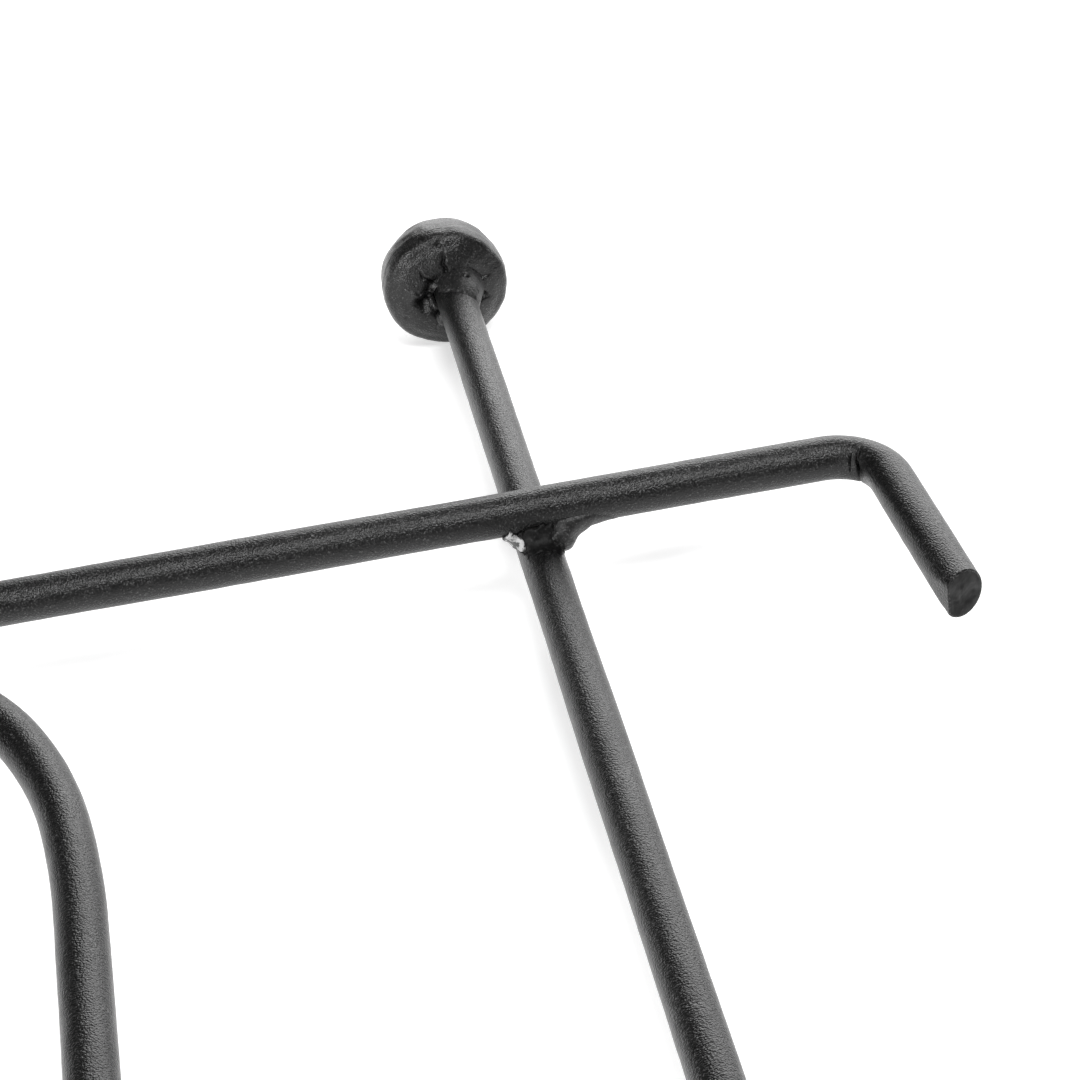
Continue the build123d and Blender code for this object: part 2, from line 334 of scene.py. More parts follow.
def cut_face(centre, edge, outward, depth_at, first_index, edge_start):
    """Rings of points that close a cut end, sinking or rising as the saw left it."""
    points = []
    faces = []
    count = len(edge)
    before = edge_start
    for ring in range(1, FACE_RINGS):
        share = 1 - ring / FACE_RINGS
        flat = centre + (edge - centre) * share
        points.append(flat + outward * depth_at(flat, share)[:, None])
        start = first_index + (ring - 1) * count
        for point in range(count):
            after = (point + 1) % count
            faces.append((before + point, before + after, start + after, start + point))
        before = start
    middle = first_index + (FACE_RINGS - 1) * count
    points.append(centre[None] + outward * depth_at(centre[None], 0.0)[:, None])
    for point in range(count):
        faces.append((before + point, before + (point + 1) % count, middle))
    return np.vstack(points), faces


def sawn(seed):
    """The face of an ordinary cut: nearly flat, a little torn."""
    def depth_at(points, share):
        torn = TORN * ripple(points, 1.6, seed) + FINELY_TORN * ripple(points, 0.6, seed + 1)
        return torn * fade(1 - share, 0.0, 0.2)
    return depth_at


def build_rod(name, path, normal, materials, seed, relief=None, closed=False, lean=PLAIN_LEAN):
    """A coated rod along a flat path, with cut ends unless it is closed."""
    path = spaced(path, RING_STEP, closed, bool(relief))
    if not closed:
        path = end_steps(path)
    ahead, inner = rod_frames(path, normal, closed)
    around = np.linspace(0, 2 * pi, RING_POINTS, endpoint=False)
    spoke = inner[:, None] * np.cos(around)[None, :, None] + normal * np.sin(around)[None, :, None]
    skin = path[:, None] + spoke * ROD_RADIUS
    radius = ROD_RADIUS + ROD_WANDER * ripple(skin, 38, seed)
    radius += ROD_RIPPLE * ripple(skin, 3.1, seed + 1)
    steps = np.linalg.norm(np.diff(path, axis=0), axis=1)
    along = np.concatenate([[0], np.cumsum(steps)])
    from_start = along[:, None]
    from_end = (along[-1] - along)[:, None]
    if not closed:
        radius = radius - bevel_loss(from_start) - bevel_loss(from_end)
    if relief:
        radius = radius + relief(skin, from_start, from_end, around[None, :])
    skin = path[:, None] + spoke * radius[..., None]
    if not closed:
        skin = lean_back(skin, path, ahead, inner, normal, from_end, lean)
        skin = lean_back(skin, path, -ahead, inner, normal, from_start, PLAIN_LEAN)
    rings = len(path)
    points = skin.reshape(-1, 3)
    faces = ring_faces(rings, RING_POINTS, closed)
    marks = [0] * len(faces)
    if not closed:
        for index, ring, way in ((0, 0, -1), (1, rings - 1, 1)):
            edge = skin[ring]
            extra, more = cut_face(
                edge.mean(axis=0), edge, way * ahead[ring], sawn(seed + 7 * index), len(points),
                ring * RING_POINTS
            )
            if way < 0:
                more = [face[::-1] for face in more]
            points = np.vstack([points, extra])
            faces += more
            marks += [1] * len(more)
    thing = place_mesh(f"{name}_coated", points, faces, materials, marks)
    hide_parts(name)
    return thing


# ---------------------------------------------------------------- marks on particular rods
INNER_RADIUS = END_BEND_RADIUS - ROD_RADIUS
CREASE_WIDTH = 0.16
CREASE_SWAY = 0.2
CREASE_DEPTH = 0.75
FACET_LENGTH = 6.0
FACET_CHORD = 0.74  # share of the radius left on the cut side
SHEARED_LEAN = (0.4, 2.0, 1.2)
BACK_FOLD = 0.75  # how sharply the bends are folded, from 0 to 1
FRONT_FOLD = 0.6
HOOK_FOLD = 0.25


def folded_corner(distance, around, sharpness):
    """What is missing inside a bend that was folded sharply instead of rolled."""
    off = distance - BEND_MIDDLE
    turn = np.clip(pi / 4 - np.abs(off) / END_BEND_RADIUS, 0, pi / 4)
    missing = INNER_RADIUS * (1 / np.cos(turn) - 1)
    inner = np.clip(np.cos(around), 0, 1)
    crease = bell(off + CREASE_SWAY * np.sin(2 * around), CREASE_WIDTH)
    return -sharpness * (missing * inner**3 + CREASE_DEPTH * crease * inner**1.5)


def folded_bends(sharpness):
    """The inner sides of both bends of a bar."""
    def relief(skin, from_start, from_end, around):
        first = folded_corner(from_start, around, sharpness)
        return first + folded_corner(from_end, around, sharpness)
    return relief


def sheared_flat(from_end, around):
    """The flat that the shear left on the inner side of a cut end, as a loss of radius."""
    chord = ROD_RADIUS * (FACET_CHORD + (1 - FACET_CHORD) * from_end / FACET_LENGTH)
    inner = np.maximum(np.cos(around), 0.2)
    return -np.maximum(np.cos(around) * ROD_RADIUS - chord, 0) / inner


def back_bar_relief(skin, from_start, from_end, around):
    plain = folded_bends(BACK_FOLD)(skin, from_start, from_end, around)
    return plain + sheared_flat(from_end, around)


# ---------------------------------------------------------------- pressed ball feet
BALL_PROFILE = [
    (2.0, -4.0), (3.2, -3.93), (4.6, -3.7), (5.9, -3.3), (6.8, -2.85), (7.4, -2.35),
    (7.8, -1.75), (8.05, -1.1), (8.18, -0.5), (8.2, 0.0), (8.05, 1.8), (7.35, 4.1), (6.1, 6.2),
    (4.4, 7.9), (2.2, 8.9), (0.0, 9.2),
]
BALL_AROUND = 300
BALL_RINGS = 190
BALL_HAMMER = 0.08  # height of the dents of the pressing tool
BALL_GRAIN = 0.02
BALL_SINK = 0.06  # keeps the bumps inside the CAD ball
RIDGE_HEIGHT = 0.12  # the rolled edge round the ball's face
RIDGE_RADIUS = 7.75
RIDGE_WIDTH = 0.45
VALLEY_DEPTH = 0.06  # inside the rolled edge
VALLEY_RADIUS = RIDGE_RADIUS - 0.9
VALLEY_WIDTH = 0.5
MOUTH_DIP = 0.8  # the dark gap left between rail and ball on one side
MOUTH_RADIUS = 2.6
MOUTH_WIDTH = 0.8

# Folds of the ball's face: angle, start and end radius, width, depth, lift of one lip.
BALL_FOLDS = [
    (radians(91), 3.4, 7.0, 0.26, 0.55, 0.10),
    (radians(131), 2.4, 6.1, 0.20, 0.34, -0.12),
    (radians(166), 1.9, 6.4, 0.16, -0.10, 0.34),
    (radians(188), 1.9, 5.2, 1.05, 1.5, -0.15),
    (radians(248), 2.6, 6.0, 0.22, 0.20, 0.08),
    (radians(300), 2.6, 6.6, 0.30, 0.35, -0.10),
    (radians(349), 2.4, 5.9, 0.55, 1.1, 0.12),
    (radians(20), 3.3, 6.6, 0.26, 0.16, -0.28),
    (radians(56), 3.6, 6.2, 0.20, 0.10, 0.10),
]
# Pits in it: angle, radius of the place, width, depth.
BALL_PITS = [(radians(93), 7.15, 0.42, 0.36), (radians(205), 6.3, 0.3, 0.16)]


def smooth_profile(points, count):
    """Evenly spaced points of a Catmull-Rom curve through the given ones."""
    points = np.array(points, float)
    padded = np.vstack([2 * points[0] - points[1], points, 2 * points[-1] - points[-2]])
    curve = []
    for a, b, c, d in zip(padded, padded[1:], padded[2:], padded[3:]):
        for t in np.linspace(0, 1, 24, endpoint=False):
            curve.append(
                0.5 * (2 * b + (c - a) * t + (2 * a - 5 * b + 4 * c - d) * t**2
                       + (3 * b - a - 3 * c + d) * t**3)
            )
    curve = np.array(curve + [points[-1]])
    along = np.concatenate([[0], np.cumsum(np.linalg.norm(np.diff(curve, axis=0), axis=1))])
    places = np.linspace(0, along[-1], count)
    return np.column_stack([np.interp(places, along, curve[:, axis]) for axis in range(2)])


def fold_depth(flat, angle, start, end, width, depth, lift, seed):
    """How far one radial fold pushes the ball's face in, at points of that face."""
    way = np.array([cos(angle), sin(angle)])
    out = flat @ way
    side = flat @ np.array([-way[1], way[0]])
    wander = 0.16 * np.sin(out * 2.1 + seed) + 0.08 * np.sin(out * 5.3 + 2 * seed)
    side = side - wander
    taper = fade(out, start - 0.5, start + 0.3) * (1 - fade(out, start + 0.45 * (end - start), end))
    groove = depth * bell(side, width * (0.45 + 0.55 * taper)) * taper
    lip = lift * fade(side, -0.12, 0.12) * (1 - fade(side, 0.4, 2.6)) * taper
    return lip - groove


def ball_relief(flat, radius, axial, turn, seed):
    """Everything that makes a pressed ball depart from a turned shape."""
    face = 1 - fade(axial, -1.6, -0.4)
    height = np.zeros(len(flat))
    for number, (angle, start, end, width, depth, lift) in enumerate(BALL_FOLDS):
        height += fold_depth(flat, angle + turn, start, end, width, depth, lift, number + seed)
    for angle, place, width, depth in BALL_PITS:
        spot = place * np.array([cos(angle + turn), sin(angle + turn)])
        height -= depth * bell(np.linalg.norm(flat - spot, axis=1), width)
    clock = np.arctan2(flat[:, 1], flat[:, 0]) - turn
    open_side = fade(-np.cos(clock - 0.2), -0.3, 0.5)
    height -= MOUTH_DIP * bell(radius - MOUTH_RADIUS, MOUTH_WIDTH) * open_side
    height += RIDGE_HEIGHT * bell(radius - RIDGE_RADIUS, RIDGE_WIDTH)
    height -= VALLEY_DEPTH * bell(radius - VALLEY_RADIUS, VALLEY_WIDTH)
    return face * height


# How far each ball's folds are turned round its rail; the photo shows the first.
BALL_TURNS = [
    ("back", "right", 0.0),
    ("back", "left", 1.3),
    ("front", "right", 2.6),
    ("front", "left", 4.1),
]


def build_ball(name, side, end, materials, turn, seed):
    """A pressed ball: hammered round back, rolled edge, face gathered in folds at the rail."""
    profile = smooth_profile(BALL_PROFILE, BALL_RINGS)
    slope = np.gradient(profile, axis=0)
    slope /= np.hypot(slope[:, 0], slope[:, 1])[:, None]
    out_r, out_y = slope[:-1, 1, None], -slope[:-1, 0, None]
    around = np.linspace(0, 2 * pi, BALL_AROUND, endpoint=False)
    cos_a, sin_a = np.cos(around), np.sin(around)
    radius = profile[:-1, 0][:, None] + np.zeros(BALL_AROUND)
    axial = profile[:-1, 1][:, None] + np.zeros(BALL_AROUND)
    flat = np.stack([radius * cos_a, radius * sin_a], axis=-1).reshape(-1, 2)
    solid = np.column_stack([flat[:, 0], axial.ravel(), flat[:, 1]])
    lift = BALL_HAMMER * ripple(solid, 5.2, seed) + BALL_GRAIN * ripple(solid, 1.7, seed + 1)
    lift += ball_relief(flat, radius.ravel(), axial.ravel(), turn, seed)
    lift = lift.reshape(radius.shape) - BALL_SINK
    radius = radius + out_r * lift
    axial = axial + out_y * lift
    middle_x = side * RAIL_X - end * BALL_SIDE_SHIFT
    x = middle_x + radius * cos_a
    y = end * (BALL_Y + axial)
    z = RAIL_HEIGHT + radius * sin_a
    points = np.stack([x, y, z], axis=-1).reshape(-1, 3)
    rings = len(profile) - 1
    faces = ring_faces(rings, BALL_AROUND, False)
    pole = len(points)
    pole_y = end * (BALL_Y + profile[-1, 1] - BALL_SINK)
    points = np.vstack([points, [[middle_x, pole_y, RAIL_HEIGHT]]])
    last = (rings - 1) * BALL_AROUND
    for point in range(BALL_AROUND):
        faces.append((last + point, last + (point + 1) % BALL_AROUND, pole))
    if end < 0:
        faces = [face[::-1] for face in faces]
    thing = place_mesh(f"{name}_coated", points, faces, materials)
    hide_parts(name)
    return thing


# ---------------------------------------------------------------- welds
# A bead: its middle's shift from the crossing in X and away from the base's middle, its radii,
# the reach of its fillet, its roughness, and how softly its edge ends.
WEB_BEAD = ((5.4, -1.4), (4.9, 3.5, 2.8), 6.6, 0.08, 1.2)
# Flaked bead: its light-grey patches are partly bare steel, partly a painted glint.
FLAKED_GLINT_BEAD = ((-3.2, -2.5), (1.25, 1.6, 1.3), 4.2, 0.34, 0.3)
# Near-black corner bead: painted shade where the cross bar shades the rail.
PAINTED_SHADE_BEAD = ((0.4, -2.4), (2.9, 2.8, 1.9), 3.4, 0.45, 0.3)
CROSSING_BEADS = (WEB_BEAD, FLAKED_GLINT_BEAD, PAINTED_SHADE_BEAD)

# Beads that the photo doesn't show: radii and the reach of the fillet.
CROWN_BEAD = ((4.4, 1.7, 1.7), 3.4)
LOOP_SIDE_BEAD = ((2.4, 2.3, 1.9), 4.2)
POST_FOOT_BEAD = ((2.2, 2.0, 2.2), 4.0)
HOOK_OUTER_BEAD = ((2.2, 1.9, 2.2), 4.0)
HOOK_INNER_BEAD = ((1.8, 2.0, 2.1), 3.8)
CORNER_SHIFT = 2.1  # from the crossing of two rods to a bead in its corner
CROWN_RISE = 1.9
INNER_HOOK_X = 2.3
BEAD_RIPPLE = 0.05
BEAD_MARGIN = 0.9

# The collar where a ball meets its rail. Shifts are in X, outward in Y, and up, from the
# middle of the ball's mouth.
COLLAR_Y = BALL_Y - BALL_FACE_HEIGHT + 0.25
COLLAR_SKIN = 0.05
COLLAR_HALF = 5.6
COLLAR_CELLS = 102
CREST = ((0.4, -0.4, 1.4), (2.4, 3.2, 1.9))
NUB = ((2.3, -0.1, 0.8), (1.1, 1.5, 1.2))
DROP = ((-1.5, -0.1, -2.9), (1.3, 1.0, 1.1))
COLLAR_EXTENT = ((0.9, 0.2, 0.7), (3.1, 5.4, 3.2))
PORE_SHIFT = (1.5, -1.1, 3.4)
PORE_RADIUS = 0.5


def surface_net(field, low, step):
    """Points and quads of the zero surface of a sampled field, one point per crossed cell."""
    cells = tuple(size - 1 for size in field.shape)
    total = np.zeros(cells + (3,))
    count = np.zeros(cells)
    for axis in range(3):
        others = [other for other in range(3) if other != axis]
        for first in (0, 1):
            for second in (0, 1):
                offset = [0, 0, 0]
                offset[others[0]] = first
                offset[others[1]] = second
                here = tuple(slice(o, o + n) for o, n in zip(offset, cells))
                offset[axis] = 1
                there = tuple(slice(o, o + n) for o, n in zip(offset, cells))
                a, b = field[here], field[there]
                crossed = (a < 0) != (b < 0)
                share = np.where(crossed, a / np.where(crossed, a - b, 1), 0)
                for other, place in zip(others, (first, second)):
                    total[..., other] += crossed * place
                total[..., axis] += share
                count += crossed
    active = count > 0
    index = np.full(cells, -1)
    index[active] = np.arange(active.sum())
    points = (np.argwhere(active) + total[active] / count[active][:, None]) * step + low
    return points, net_faces(field, index)


def net_faces(field, index):
    """A quad across every crossed edge of the grid."""
    faces = []
    for axis in range(3):
        others = [other for other in range(3) if other != axis]
        inner = [slice(1, -1)] * 3
        inner[axis] = slice(0, -1)
        after = list(inner)
        after[axis] = slice(1, None)
        a, b = field[tuple(inner)], field[tuple(after)]
        crossed = np.argwhere((a < 0) != (b < 0))
        base = crossed + 1
        base[:, axis] -= 1
        rising = (a < 0)[tuple(crossed.T)]
        if axis == 1:
            rising = ~rising
        corners = []
        for first, second in ((1, 1), (0, 1), (0, 0), (1, 0)):
            cell = base.copy()
            cell[:, others[0]] -= first
            cell[:, others[1]] -= second
            corners.append(index[tuple(cell.T)])
        quads = np.stack(corners, axis=1)
        quads = np.where(rising[:, None], quads, quads[:, ::-1])
        faces += [tuple(quad) for quad in quads.tolist() if min(quad) >= 0]
    return faces


def rod_distance(points, place, way):
    """Distance from points to the skin of a straight rod."""
    way = unit(np.array(way, float))
    away = points - np.array(place, float)
    across = away - (away @ way)[..., None] * way
    return np.linalg.norm(across, axis=-1) - ROD_RADIUS


def lump(points, centre, radii, seed, roughness):
    """Distance to a lumpy ellipsoid of weld metal."""
    radii = np.array(radii, float)
    size = radii.min()
    scaled = np.linalg.norm((points - np.array(centre, float)) / radii, axis=-1)
    uneven = roughness * (0.6 * ripple(points, 2.6, seed) + 0.4 * ripple(points, 1.0, seed + 1))
    return (scaled - 1) * size + uneven


def bead_mesh(rods, centre, radii, reach, seed, roughness=0.16, toe=0.4, step=NET_STEP):
    """One weld bead: a hollow fillet between two rods, as far as a lumpy blob reaches."""
    radii = np.array(radii, float)
    margin = radii + BEAD_MARGIN
    low = np.array(centre) - margin
    sizes = [ceil(2 * length / step) + 1 for length in margin]
    axes = [low[axis] + step * np.arange(sizes[axis]) for axis in range(3)]
    points = np.stack(np.meshgrid(*axes, indexing="ij"), axis=-1)
    first = rod_distance(points, *rods[0]) - BEAD_SKIN
    second = rod_distance(points, *rods[1]) - BEAD_SKIN
    fillet = blended(first, second, reach) + BEAD_RIPPLE * ripple(points, 1.9, seed + 5)
    heap = lump(points, centre, radii, seed, roughness)
    return surface_net(rounded_common(fillet, heap, toe), low, step)


def build_welds(name, beads, materials):
    """Several beads as one piece; each bead is (points, faces, material number)."""
    points = []
    faces = []
    marks = []
    for bead_points, bead_faces, mark in beads:
        shift = len(points)
        points.extend(bead_points.tolist())
        faces.extend(tuple(index + shift for index in face) for face in bead_faces)
        marks.extend([mark] * len(bead_faces))
    thing = place_mesh(f"{name}_coated", np.array(points), faces, materials, marks)
    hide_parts(name)
    return thing


def crossing_rods(side, end):
    x = side * RAIL_X
    y = end * BAR_Y + x * tan(BAR_SKEW)
    rail_rod = ((x, y, RAIL_HEIGHT), (0, 1, 0))
    bar_rod = ((x, y, BAR_HEIGHT), (1, tan(BAR_SKEW), 0))
    return x, y, (rail_rod, bar_rod)


def crossing_beads(seed):
    """Each cross bar on each rail: a wide web of weld, a flaked bead with a painted glint,
    and a near-black bead of painted shade between.
    """
    beads = []
    for side, end in CORNERS:
        x, y, rods = crossing_rods(side, end)
        for mark, (shift, radii, reach, roughness, toe) in enumerate(CROSSING_BEADS):
            centre = (x + shift[0], y + end * shift[1], CONTACT_HEIGHT)
            shape = bead_mesh(rods, centre, radii, reach, seed + 3 * mark, roughness, toe,
                              FINE_NET_STEP)
            beads.append((*shape, mark))
        seed += 11
    return beads


def crown_beads(seed):
    """The two ends of the loop against the sides of the cross bars."""
    beads = []
    for number, end in enumerate(ENDS.values()):
        bar_rod = ((0, end * BAR_Y, BAR_HEIGHT), (1, tan(BAR_SKEW), 0))
        crown_rod = ((0, end * LOOP_CROWN_Y, BAR_HEIGHT), (1, 0, 0))
        centre = (0, end * (BAR_Y - ROD_RADIUS), BAR_HEIGHT + CROWN_RISE)
        shape = bead_mesh((bar_rod, crown_rod), centre, *CROWN_BEAD, seed + number)
        beads.append((*shape, 0))
    return beads


def loop_side_beads(seed):
    """The sides of the loop on the post rods."""
    beads = []
    for number, (side, end) in enumerate(CORNERS):
        x = side * LOOP_SIDE_X
        y = end * 2 * ROD_RADIUS
        rods = (((x, y, BAR_HEIGHT), (0, 1, 0)), ((x, y, RAIL_HEIGHT), (1, 0, 0)))
        centre = (x + side * CORNER_SHIFT, y + end * CORNER_SHIFT, CONTACT_HEIGHT)
        beads.append((*bead_mesh(rods, centre, *LOOP_SIDE_BEAD, seed + 3 * number), 0))
    return beads


def post_foot_beads(seed):
    """The legs of the post between the two post rods."""
    beads = []
    for number, (side, end) in enumerate(CORNERS):
        x = side * POST_LEG_X
        y = end * 2 * ROD_RADIUS
        rods = (((x, y, RAIL_HEIGHT), (1, 0, 0)), ((x, 0, RAIL_HEIGHT), (0, 0, 1)))
        centre = (x + side * CORNER_SHIFT, end * ROD_RADIUS, RAIL_HEIGHT + CORNER_SHIFT)
        beads.append((*bead_mesh(rods, centre, *POST_FOOT_BEAD, seed + 3 * number), 0))
    return beads


def hook_beads(height, seed):
    """The two hook bars of one tier on the legs of the post."""
    beads = []
    cross_height = height + 2 * ROD_RADIUS
    for side in SIDES.values():
        x = side * POST_LEG_X
        leg = ((x, 0, height), (0, 0, 1))
        side_bar = ((x, -2 * ROD_RADIUS, height), (1, 0, 0))
        front_bar = ((0, 0, cross_height), (0, 1, 0))
        outer = (x + side * CORNER_SHIFT, -ROD_RADIUS, height - CORNER_SHIFT)
        beads.append((*bead_mesh((leg, side_bar), outer, *HOOK_OUTER_BEAD, seed), 0))
        seed += 3
        for end in ENDS.values():
            inner = (side * INNER_HOOK_X, end * CORNER_SHIFT, cross_height + CORNER_SHIFT)
            beads.append((*bead_mesh((leg, front_bar), inner, *HOOK_INNER_BEAD, seed), 0))
            seed += 3
    return beads


def collar_place(side, end, shift):
    """A place given from the middle of a ball's mouth, in the part's frame."""
    right, outward, rise = shift
    return (side * RAIL_X + right, end * (COLLAR_Y + outward), RAIL_HEIGHT + rise)


def collar_mesh(side, end, seed):
    """The lumpy ring of weld that fills the mouth of a ball round its rail."""
    x = side * RAIL_X
    step = FINE_NET_STEP
    low = np.array([x, end * COLLAR_Y, RAIL_HEIGHT]) - COLLAR_HALF
    axes = [start + step * np.arange(COLLAR_CELLS) for start in low]
    points = np.stack(np.meshgrid(*axes, indexing="ij"), axis=-1)

    def weld_lump(part, number, roughness):
        shift, radii = part
        return lump(points, collar_place(side, end, shift), radii, seed + number, roughness)

    rod_gap = rod_distance(points, (x, 0, RAIL_HEIGHT), (0, 1, 0)) - COLLAR_SKIN
    face_gap = (COLLAR_Y - end * points[..., 1]) - COLLAR_SKIN
    field = blended(rod_gap, weld_lump(CREST, 3, 0.12), 2.6)
    field = blended(field, weld_lump(NUB, 9, 0.12), 1.4)
    field = blended(field, face_gap, 1.0)
    field = rounded_common(field, weld_lump(COLLAR_EXTENT, 0, 0.06), 0.5)
    field = blended(field, weld_lump(DROP, 6, 0.06), 0.6)
    pore = np.linalg.norm(points - collar_place(side, end, PORE_SHIFT), axis=-1) - PORE_RADIUS
    return surface_net(rounded_common(field, -pore, 0.2), low, step)


def collar_beads(seed):
    beads = []
    for number, (side, end) in enumerate(CORNERS):
        beads.append((*collar_mesh(side, end, seed + 13 * number), 0))
    return beads


# ---------------------------------------------------------------- materials
def new_material(name):
    material = bpy.data.materials.new(name)
    material.use_nodes = True
    tree = material.node_tree
    return material, tree, tree.nodes["Principled BSDF"]


def add_node(tree, kind, **inputs):
    node = tree.nodes.new(kind)
    for key, value in inputs.items():
        node.inputs[key.replace("_", " ")].default_value = value
    return node


def object_noise(tree, size_mm, detail=3.0, rough=0.55):
    """Noise whose lumps are about `size_mm` across on the real object."""
    place = add_node(tree, "ShaderNodeTexCoord")
    noise = add_node(tree, "ShaderNodeTexNoise", Scale=1 / (size_mm * MM), Detail=detail,
                     Roughness=rough)
    tree.links.new(place.outputs["Object"], noise.inputs["Vector"])
    return noise.outputs["Fac"]


def ramp(tree, source, stops):
    """A colour ramp of (place, grey) stops."""
    node = tree.nodes.new("ShaderNodeValToRGB")
    elements = node.color_ramp.elements
    while len(elements) < len(stops):
        elements.new(0.5)
    for element, (place, grey) in zip(elements, stops):
        element.position = place
        element.color = (grey, grey, grey, 1)
    tree.links.new(source, node.inputs["Fac"])
    return node.outputs["Color"]


def bumped(tree, source, depth_mm, under=None):
    bump = add_node(tree, "ShaderNodeBump", Strength=1.0, Distance=depth_mm * MM)
    tree.links.new(source, bump.inputs["Height"])
    if under:
        tree.links.new(under, bump.inputs["Normal"])
    return bump.outputs["Normal"]


PIT_SPACING = 2.2
PIT_DEPTH = 0.03
SLOW_GLOSS = 9.0  # size of the patches where the coat is a little more or less glossy


def coat_material(name, greys, roughs, grain_mm, grain_depth, pits=True):
    """Black powder coat: orange-peel grain, fine speckle, tiny pits and slow changes of gloss."""
    material, tree, shader = new_material(name)
    speckle = object_noise(tree, grain_mm, 1.5, 0.6)
    slow = object_noise(tree, SLOW_GLOSS, 2.0)
    shade = ramp(tree, speckle, list(zip((0.40, 0.60, 0.75), greys)))
    tree.links.new(shade, shader.inputs["Base Color"])
    gloss = ramp(tree, slow, list(zip((0.3, 0.7), roughs)))
    tree.links.new(gloss, shader.inputs["Roughness"])
    normal = bumped(tree, object_noise(tree, grain_mm, 1.0, 0.5), grain_depth)
    normal = bumped(tree, object_noise(tree, 5 * grain_mm, 2.0), 0.2 * grain_depth, normal)
    if pits:
        spots = add_node(tree, "ShaderNodeTexVoronoi", Scale=1 / (PIT_SPACING * MM))
        place = add_node(tree, "ShaderNodeTexCoord")
        tree.links.new(place.outputs["Object"], spots.inputs["Vector"])
        holes = ramp(tree, spots.outputs["Distance"], [(0.05, 0.0), (0.11, 1.0)])
        normal = bumped(tree, holes, PIT_DEPTH, normal)
    tree.links.new(normal, shader.inputs["Normal"])
    shader.inputs["Specular IOR Level"].default_value = 0.38
    return material


def cut_material(name):
    """The coated face of a cut end: smeared flat areas of two greys."""
    material, tree, shader = new_material(name)
    smear = object_noise(tree, 2.2, 1.0, 0.4)
    shade = ramp(tree, smear, [(0.42, 0.001), (0.5, 0.003), (0.6, 0.02)])
    tree.links.new(shade, shader.inputs["Base Color"])
    gloss = ramp(tree, object_noise(tree, 0.8), [(0.3, 0.42), (0.7, 0.62)])
    tree.links.new(gloss, shader.inputs["Roughness"])
    normal = bumped(tree, object_noise(tree, 0.5, 3.0), 0.05)
    tree.links.new(normal, shader.inputs["Normal"])
    shader.inputs["Specular IOR Level"].default_value = 0.25
    return material


def bare_and_glint_material(name):
    """Weld metal whose coat has broken away: light-grey steel between black islands, partly bare
    steel and partly a painted glint on the bead's thin edge.
    """
    material, tree, shader = new_material(name)
    flake_and_glint_mask = ramp(tree, object_noise(tree, 1.1, 3.0, 0.6), [(0.46, 0.0), (0.52, 1.0)])
    mix = tree.nodes.new("ShaderNodeMix")
    mix.data_type = "RGBA"
    # light grey: bare steel and a painted glint together
    mix.inputs["A"].default_value = (0.42, 0.42, 0.42, 1)
    mix.inputs["B"].default_value = (0.03, 0.03, 0.03, 1)
    tree.links.new(flake_and_glint_mask, mix.inputs["Factor"])
    tree.links.new(mix.outputs["Result"], shader.inputs["Base Color"])
    gloss = ramp(tree, object_noise(tree, 0.7), [(0.3, 0.28), (0.7, 0.5)])
    tree.links.new(gloss, shader.inputs["Roughness"])
    normal = bumped(tree, flake_and_glint_mask, 0.06)
    normal = bumped(tree, object_noise(tree, 0.4, 3.0), 0.04, normal)
    tree.links.new(normal, shader.inputs["Normal"])
    return material


def painted_shade_material(name):
    """Painted shade: near-black metal in the corner between two beads, where the cross bar shades
    the rail.
    """
    material, tree, shader = new_material(name)
    shade = ramp(tree, object_noise(tree, 0.4, 2.0), [(0.4, 0.0015), (0.6, 0.006), (0.75, 0.03)])
    tree.links.new(shade, shader.inputs["Base Color"])
    gloss = ramp(tree, object_noise(tree, 1.2), [(0.3, 0.45), (0.7, 0.6)])
    tree.links.new(gloss, shader.inputs["Roughness"])
    normal = bumped(tree, object_noise(tree, 0.4, 4.0), 0.05)
    tree.links.new(normal, shader.inputs["Normal"])
    shader.inputs["Specular IOR Level"].default_value = 0.16
    return material


def floor_material(name):
    """Pale matt paper, with only the faintest unevenness."""
    material, tree, shader = new_material(name)
    shade = ramp(tree, object_noise(tree, 60.0), [(0.3, 0.9), (0.7, 0.93)])
    tree.links.new(shade, shader.inputs["Base Color"])
    shader.inputs["Roughness"].default_value = 0.9
    shader.inputs["Specular IOR Level"].default_value = 0.1
    shader.inputs["Emission Color"].default_value = (1, 1, 1, 1)
    shader.inputs["Emission Strength"].default_value = PAPER_GLOW
    normal = bumped(tree, object_noise(tree, 1.5), 0.02)
    tree.links.new(normal, shader.inputs["Normal"])
    return material


# ---------------------------------------------------------------- floor, lights, camera
CAMERA_PLACE = (0.05418, -0.16867, 0.18152)
CAMERA_HEADING = radians(7.572)  # to the right of straight towards the back
CAMERA_PITCH = radians(33.871)  # below the horizon
CAMERA_ROLL = radians(5.117)  # clockwise, as the photographer would tip it
CAMERA_LENS = 92.68
PAPER_GLOW = 0.38  # the paper lies on a light table
PAPER_SIZE = 12  # metres
ROOM_GLOW = 0.10
LIT_SPOT = Vector((0.087, 0.09, 0.01))


def build_floor():
    bpy.ops.mesh.primitive_plane_add(size=PAPER_SIZE, location=(0, 0, 0))
    floor = bpy.context.object
    floor.name = "floor"
    floor.data.materials.append(floor_material("floor_paper"))


def soft_light(name, direction, distance, size, power):
    """A soft box that faces the lit spot: direction, distance and size in metres, watts."""
    data = bpy.data.lights.new(name, "AREA")
    data.shape = "RECTANGLE"
    data.size, data.size_y = size
    data.energy = power
    light = bpy.data.objects.new(name, data)
    bpy.context.scene.collection.objects.link(light)
    way = Vector(direction).normalized()
    light.location = LIT_SPOT + way * distance
    light.rotation_mode = "QUATERNION"
    light.rotation_quaternion = way.to_track_quat("Z", "Y")
    light.visible_camera = False


def build_lights():
    soft_light("overhead_box", (0.14, -0.42, 0.90), 1.1, (0.55, 0.40), 10)
    soft_light("left_box", (-0.74, -0.57, 0.40), 1.2, (0.35, 0.35), 11)
    soft_light("back_card", (0.38, 0.82, 0.43), 1.1, (1.25, 0.75), 14)


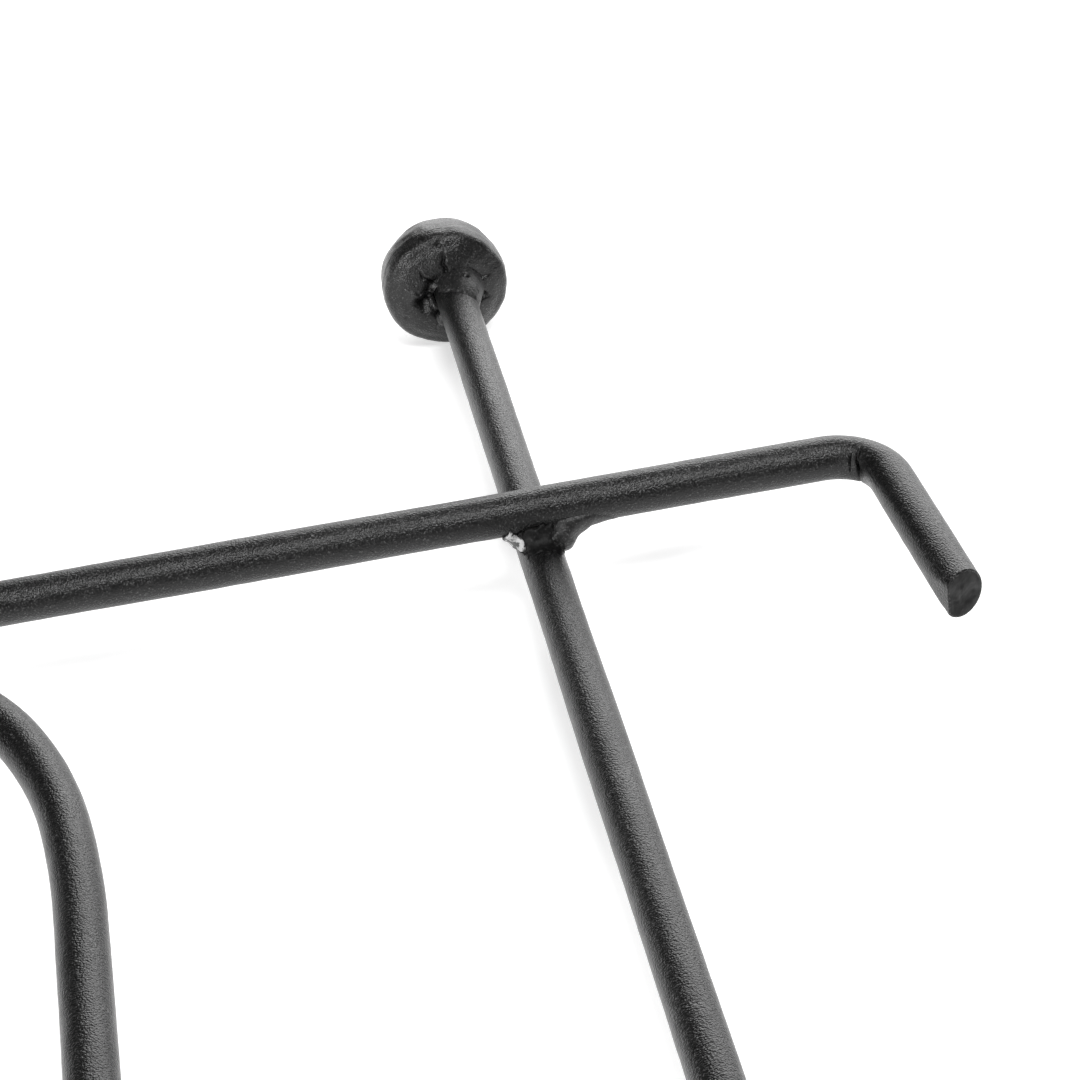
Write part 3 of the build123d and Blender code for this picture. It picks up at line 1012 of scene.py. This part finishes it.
def build_world():
    world = bpy.data.worlds.new("room")
    bpy.context.scene.world = world
    world.use_nodes = True
    back = world.node_tree.nodes["Background"]
    back.inputs["Color"].default_value = (1, 1, 1, 1)
    back.inputs["Strength"].default_value = ROOM_GLOW


def build_camera():
    data = bpy.data.cameras.new("photo_camera")
    data.sensor_width = 36
    data.lens = CAMERA_LENS
    data.clip_start = 0.01
    data.clip_end = 50
    camera = bpy.data.objects.new("photo_camera", data)
    bpy.context.scene.collection.objects.link(camera)
    turn = Matrix.Rotation(-CAMERA_HEADING, 4, "Z")
    tip = Matrix.Rotation(pi / 2 - CAMERA_PITCH, 4, "X")
    roll = Matrix.Rotation(-CAMERA_ROLL, 4, "Z")
    camera.matrix_world = Matrix.Translation(CAMERA_PLACE) @ turn @ tip @ roll
    bpy.context.scene.camera = camera


# ---------------------------------------------------------------- the whole scene
def build_rods(rod_materials):
    seed = 1
    for side_name, side in SIDES.items():
        build_rod(f"{side_name}_rail", rail_path(side), UP, rod_materials, seed)
        seed += 20
    for end_name, end in ENDS.items():
        path = cross_bar_path(end)
        normal = unit(np.cross(path[-1] - path[-2], path[0] - path[-1]))
        relief = back_bar_relief if end > 0 else folded_bends(FRONT_FOLD)
        lean = SHEARED_LEAN if end > 0 else PLAIN_LEAN
        build_rod(f"{end_name}_cross_bar", path, normal, rod_materials, seed, relief, lean=lean)
        build_rod(f"{end_name}_post_rod", post_rod_path(end), UP, rod_materials, seed + 10)
        seed += 20
    build_rod("base_loop", loop_path(), UP, rod_materials, seed, closed=True)
    build_rod("post_with_handle", post_path(), FORWARD, rod_materials, seed + 10)
    for tier, (height, reach) in HOOK_TIERS.items():
        side_path = hook_bar_path((0, -2 * ROD_RADIUS, height), RIGHT, reach)
        build_rod(f"{tier}_side_hook_bar", side_path, FORWARD, rod_materials, seed + 20,
                  folded_bends(HOOK_FOLD))
        front_path = hook_bar_path((0, 0, height + 2 * ROD_RADIUS), (0, 1, 0), reach)
        build_rod(f"{tier}_front_hook_bar", front_path, RIGHT, rod_materials, seed + 30,
                  folded_bends(HOOK_FOLD))
        seed += 40


def build_balls(ball_coat):
    for number, (end_name, side_name, turn) in enumerate(BALL_TURNS):
        name = f"{end_name}_{side_name}_ball_foot"
        build_ball(name, SIDES[side_name], ENDS[end_name], [ball_coat], turn, 400 + 9 * number)


def build_all_welds(weld_materials):
    """Every group of beads, each with its own first seed."""
    build_welds("rail_crossing_welds", crossing_beads(40), weld_materials)
    build_welds("loop_crown_welds", crown_beads(120), weld_materials)
    build_welds("loop_side_welds", loop_side_beads(140), weld_materials)
    build_welds("post_foot_welds", post_foot_beads(160), weld_materials)
    for number, (tier, (height, _)) in enumerate(HOOK_TIERS.items()):
        build_welds(f"{tier}_hook_welds", hook_beads(height, 200 + 40 * number), weld_materials)
    build_welds("ball_collar_welds", collar_beads(300), weld_materials)


rod_coat = coat_material("rod_coat", (0.001, 0.006, 0.065), (0.28, 0.35), 0.20, 0.095)
ball_coat = coat_material("ball_coat", (0.001, 0.005, 0.060), (0.27, 0.34), 0.20, 0.09)
weld_coat = coat_material("weld_coat", (0.003, 0.012, 0.070), (0.38, 0.48), 0.22, 0.07, pits=False)
cut_coat = cut_material("cut_coat")
# near-black painted shade for the corner in front of the cross bar
painted_shade_coat = painted_shade_material("painted_shade_coat")
# bare steel with a painted glint, for the flaked bead
bare_steel_and_glint = bare_and_glint_material("bare_steel_and_glint")

build_rods([rod_coat, cut_coat])
build_balls(ball_coat)
build_all_welds([weld_coat, bare_steel_and_glint, painted_shade_coat])
build_floor()
build_lights()
build_world()
build_camera()
bpy.context.scene.view_settings.view_transform = "Standard"
